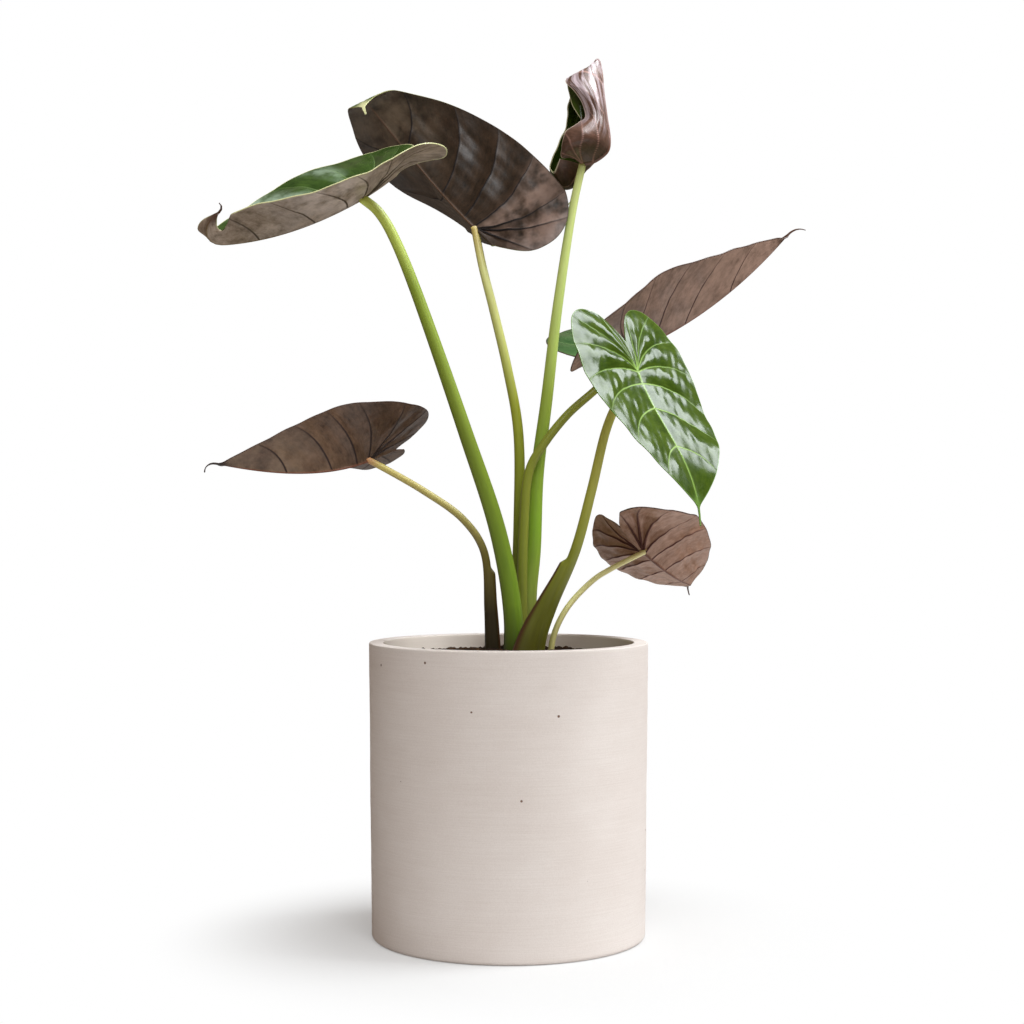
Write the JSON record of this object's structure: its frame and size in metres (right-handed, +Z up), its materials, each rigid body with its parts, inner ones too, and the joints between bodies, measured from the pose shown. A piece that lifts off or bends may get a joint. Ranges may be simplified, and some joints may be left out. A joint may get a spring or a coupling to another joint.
{
  "type": "potted hardy elephant ear",
  "caption": "Elephant ear plant with heart-shaped leaves on arching stalks, standing in a plain cylindrical planter filled with soil.",
  "frame": {"origin": "on the floor, in the middle of the flat underside of the pot", "axes": "+Z up along the pot's axis; +Y away from the front of the plant, +X to its right"},
  "size_m": [0.6341, 0.3588, 0.9149],
  "materials": {
    "pot": "matte, finely brushed",
    "soil": "crumbly",
    "corm": "rough",
    "stalk": "satin",
    "blade": "glossy"
  },
  "bodies": {
    "root": {"pot": "pot", "soil": "soil", "corm": "corm", "stalk_a": "stalk", "stalk_b": "stalk", "stalk_c": "stalk", "stalk_d": "stalk", "stalk_e": "stalk", "stalk_f": "stalk", "stalk_g": "stalk", "leaf_a": "blade", "leaf_b": "blade", "leaf_c": "blade", "leaf_d": "blade", "leaf_e": "blade", "leaf_f": "blade", "leaf_g": "blade"}
  },
  "joints": []
}
